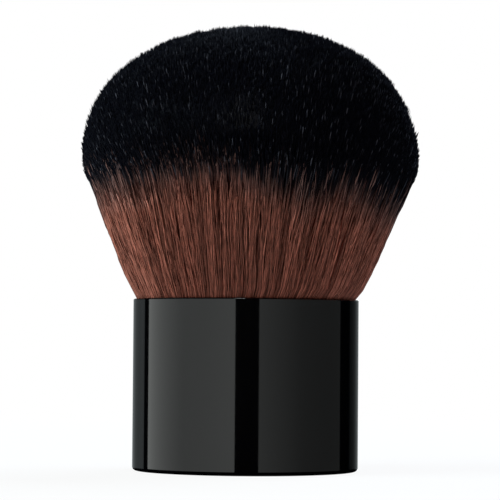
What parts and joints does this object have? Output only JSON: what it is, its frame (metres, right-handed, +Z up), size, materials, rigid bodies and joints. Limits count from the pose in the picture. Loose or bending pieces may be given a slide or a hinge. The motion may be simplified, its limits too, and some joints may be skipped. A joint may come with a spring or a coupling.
{
  "type": "kabuki makeup brush",
  "caption": "Short kabuki makeup brush: a gloss black metal barrel that stands on its foot and a dense, springy, domed head of brown fibres with black dip-dyed tips, for buffing powder.",
  "frame": {"origin": "centre of the foot, on the surface that the brush stands on", "axes": "+Z up along the brush's axis, from the foot to the crown of the head; +X to the right in the picture's view"},
  "size_m": [0.0524, 0.0524, 0.069],
  "materials": {
    "barrel_lacquer": "gloss",
    "base_plastic": "satin",
    "weight_steel": "satin",
    "liner_plastic": "satin",
    "cup_aluminium": "satin",
    "set_resin": "gloss",
    "binding_thread": "matte",
    "fibre_brown": "satin",
    "fibre_black": "satin"
  },
  "bodies": {
    "handle": {"barrel_shell": "barrel_lacquer", "base_disc": "base_plastic", "weight_slug": "weight_steel", "inner_liner": "liner_plastic", "knot_cup": "cup_aluminium", "resin_plug": "set_resin", "root_binding": "binding_thread", "bristle_roots": "fibre_brown"},
    "belly": {"bristle_belly": "fibre_brown"},
    "crown": {"bristle_crown": "fibre_black"}
  },
  "joints": [
    {"name": "belly_lean", "type": "hinge", "parent": "handle", "child": "belly", "pos_m": [0, 0, 0.0204], "axis": [1, 0, 0], "range_deg": [-12, 12], "stiffness_Nm_per_rad": 0.2},
    {"name": "crown_lean", "type": "hinge", "parent": "belly", "child": "crown", "pos_m": [0, 0, 0.03599], "axis": [0, 1, 0], "range_deg": [-12, 12], "stiffness_Nm_per_rad": 0.2}
  ]
}
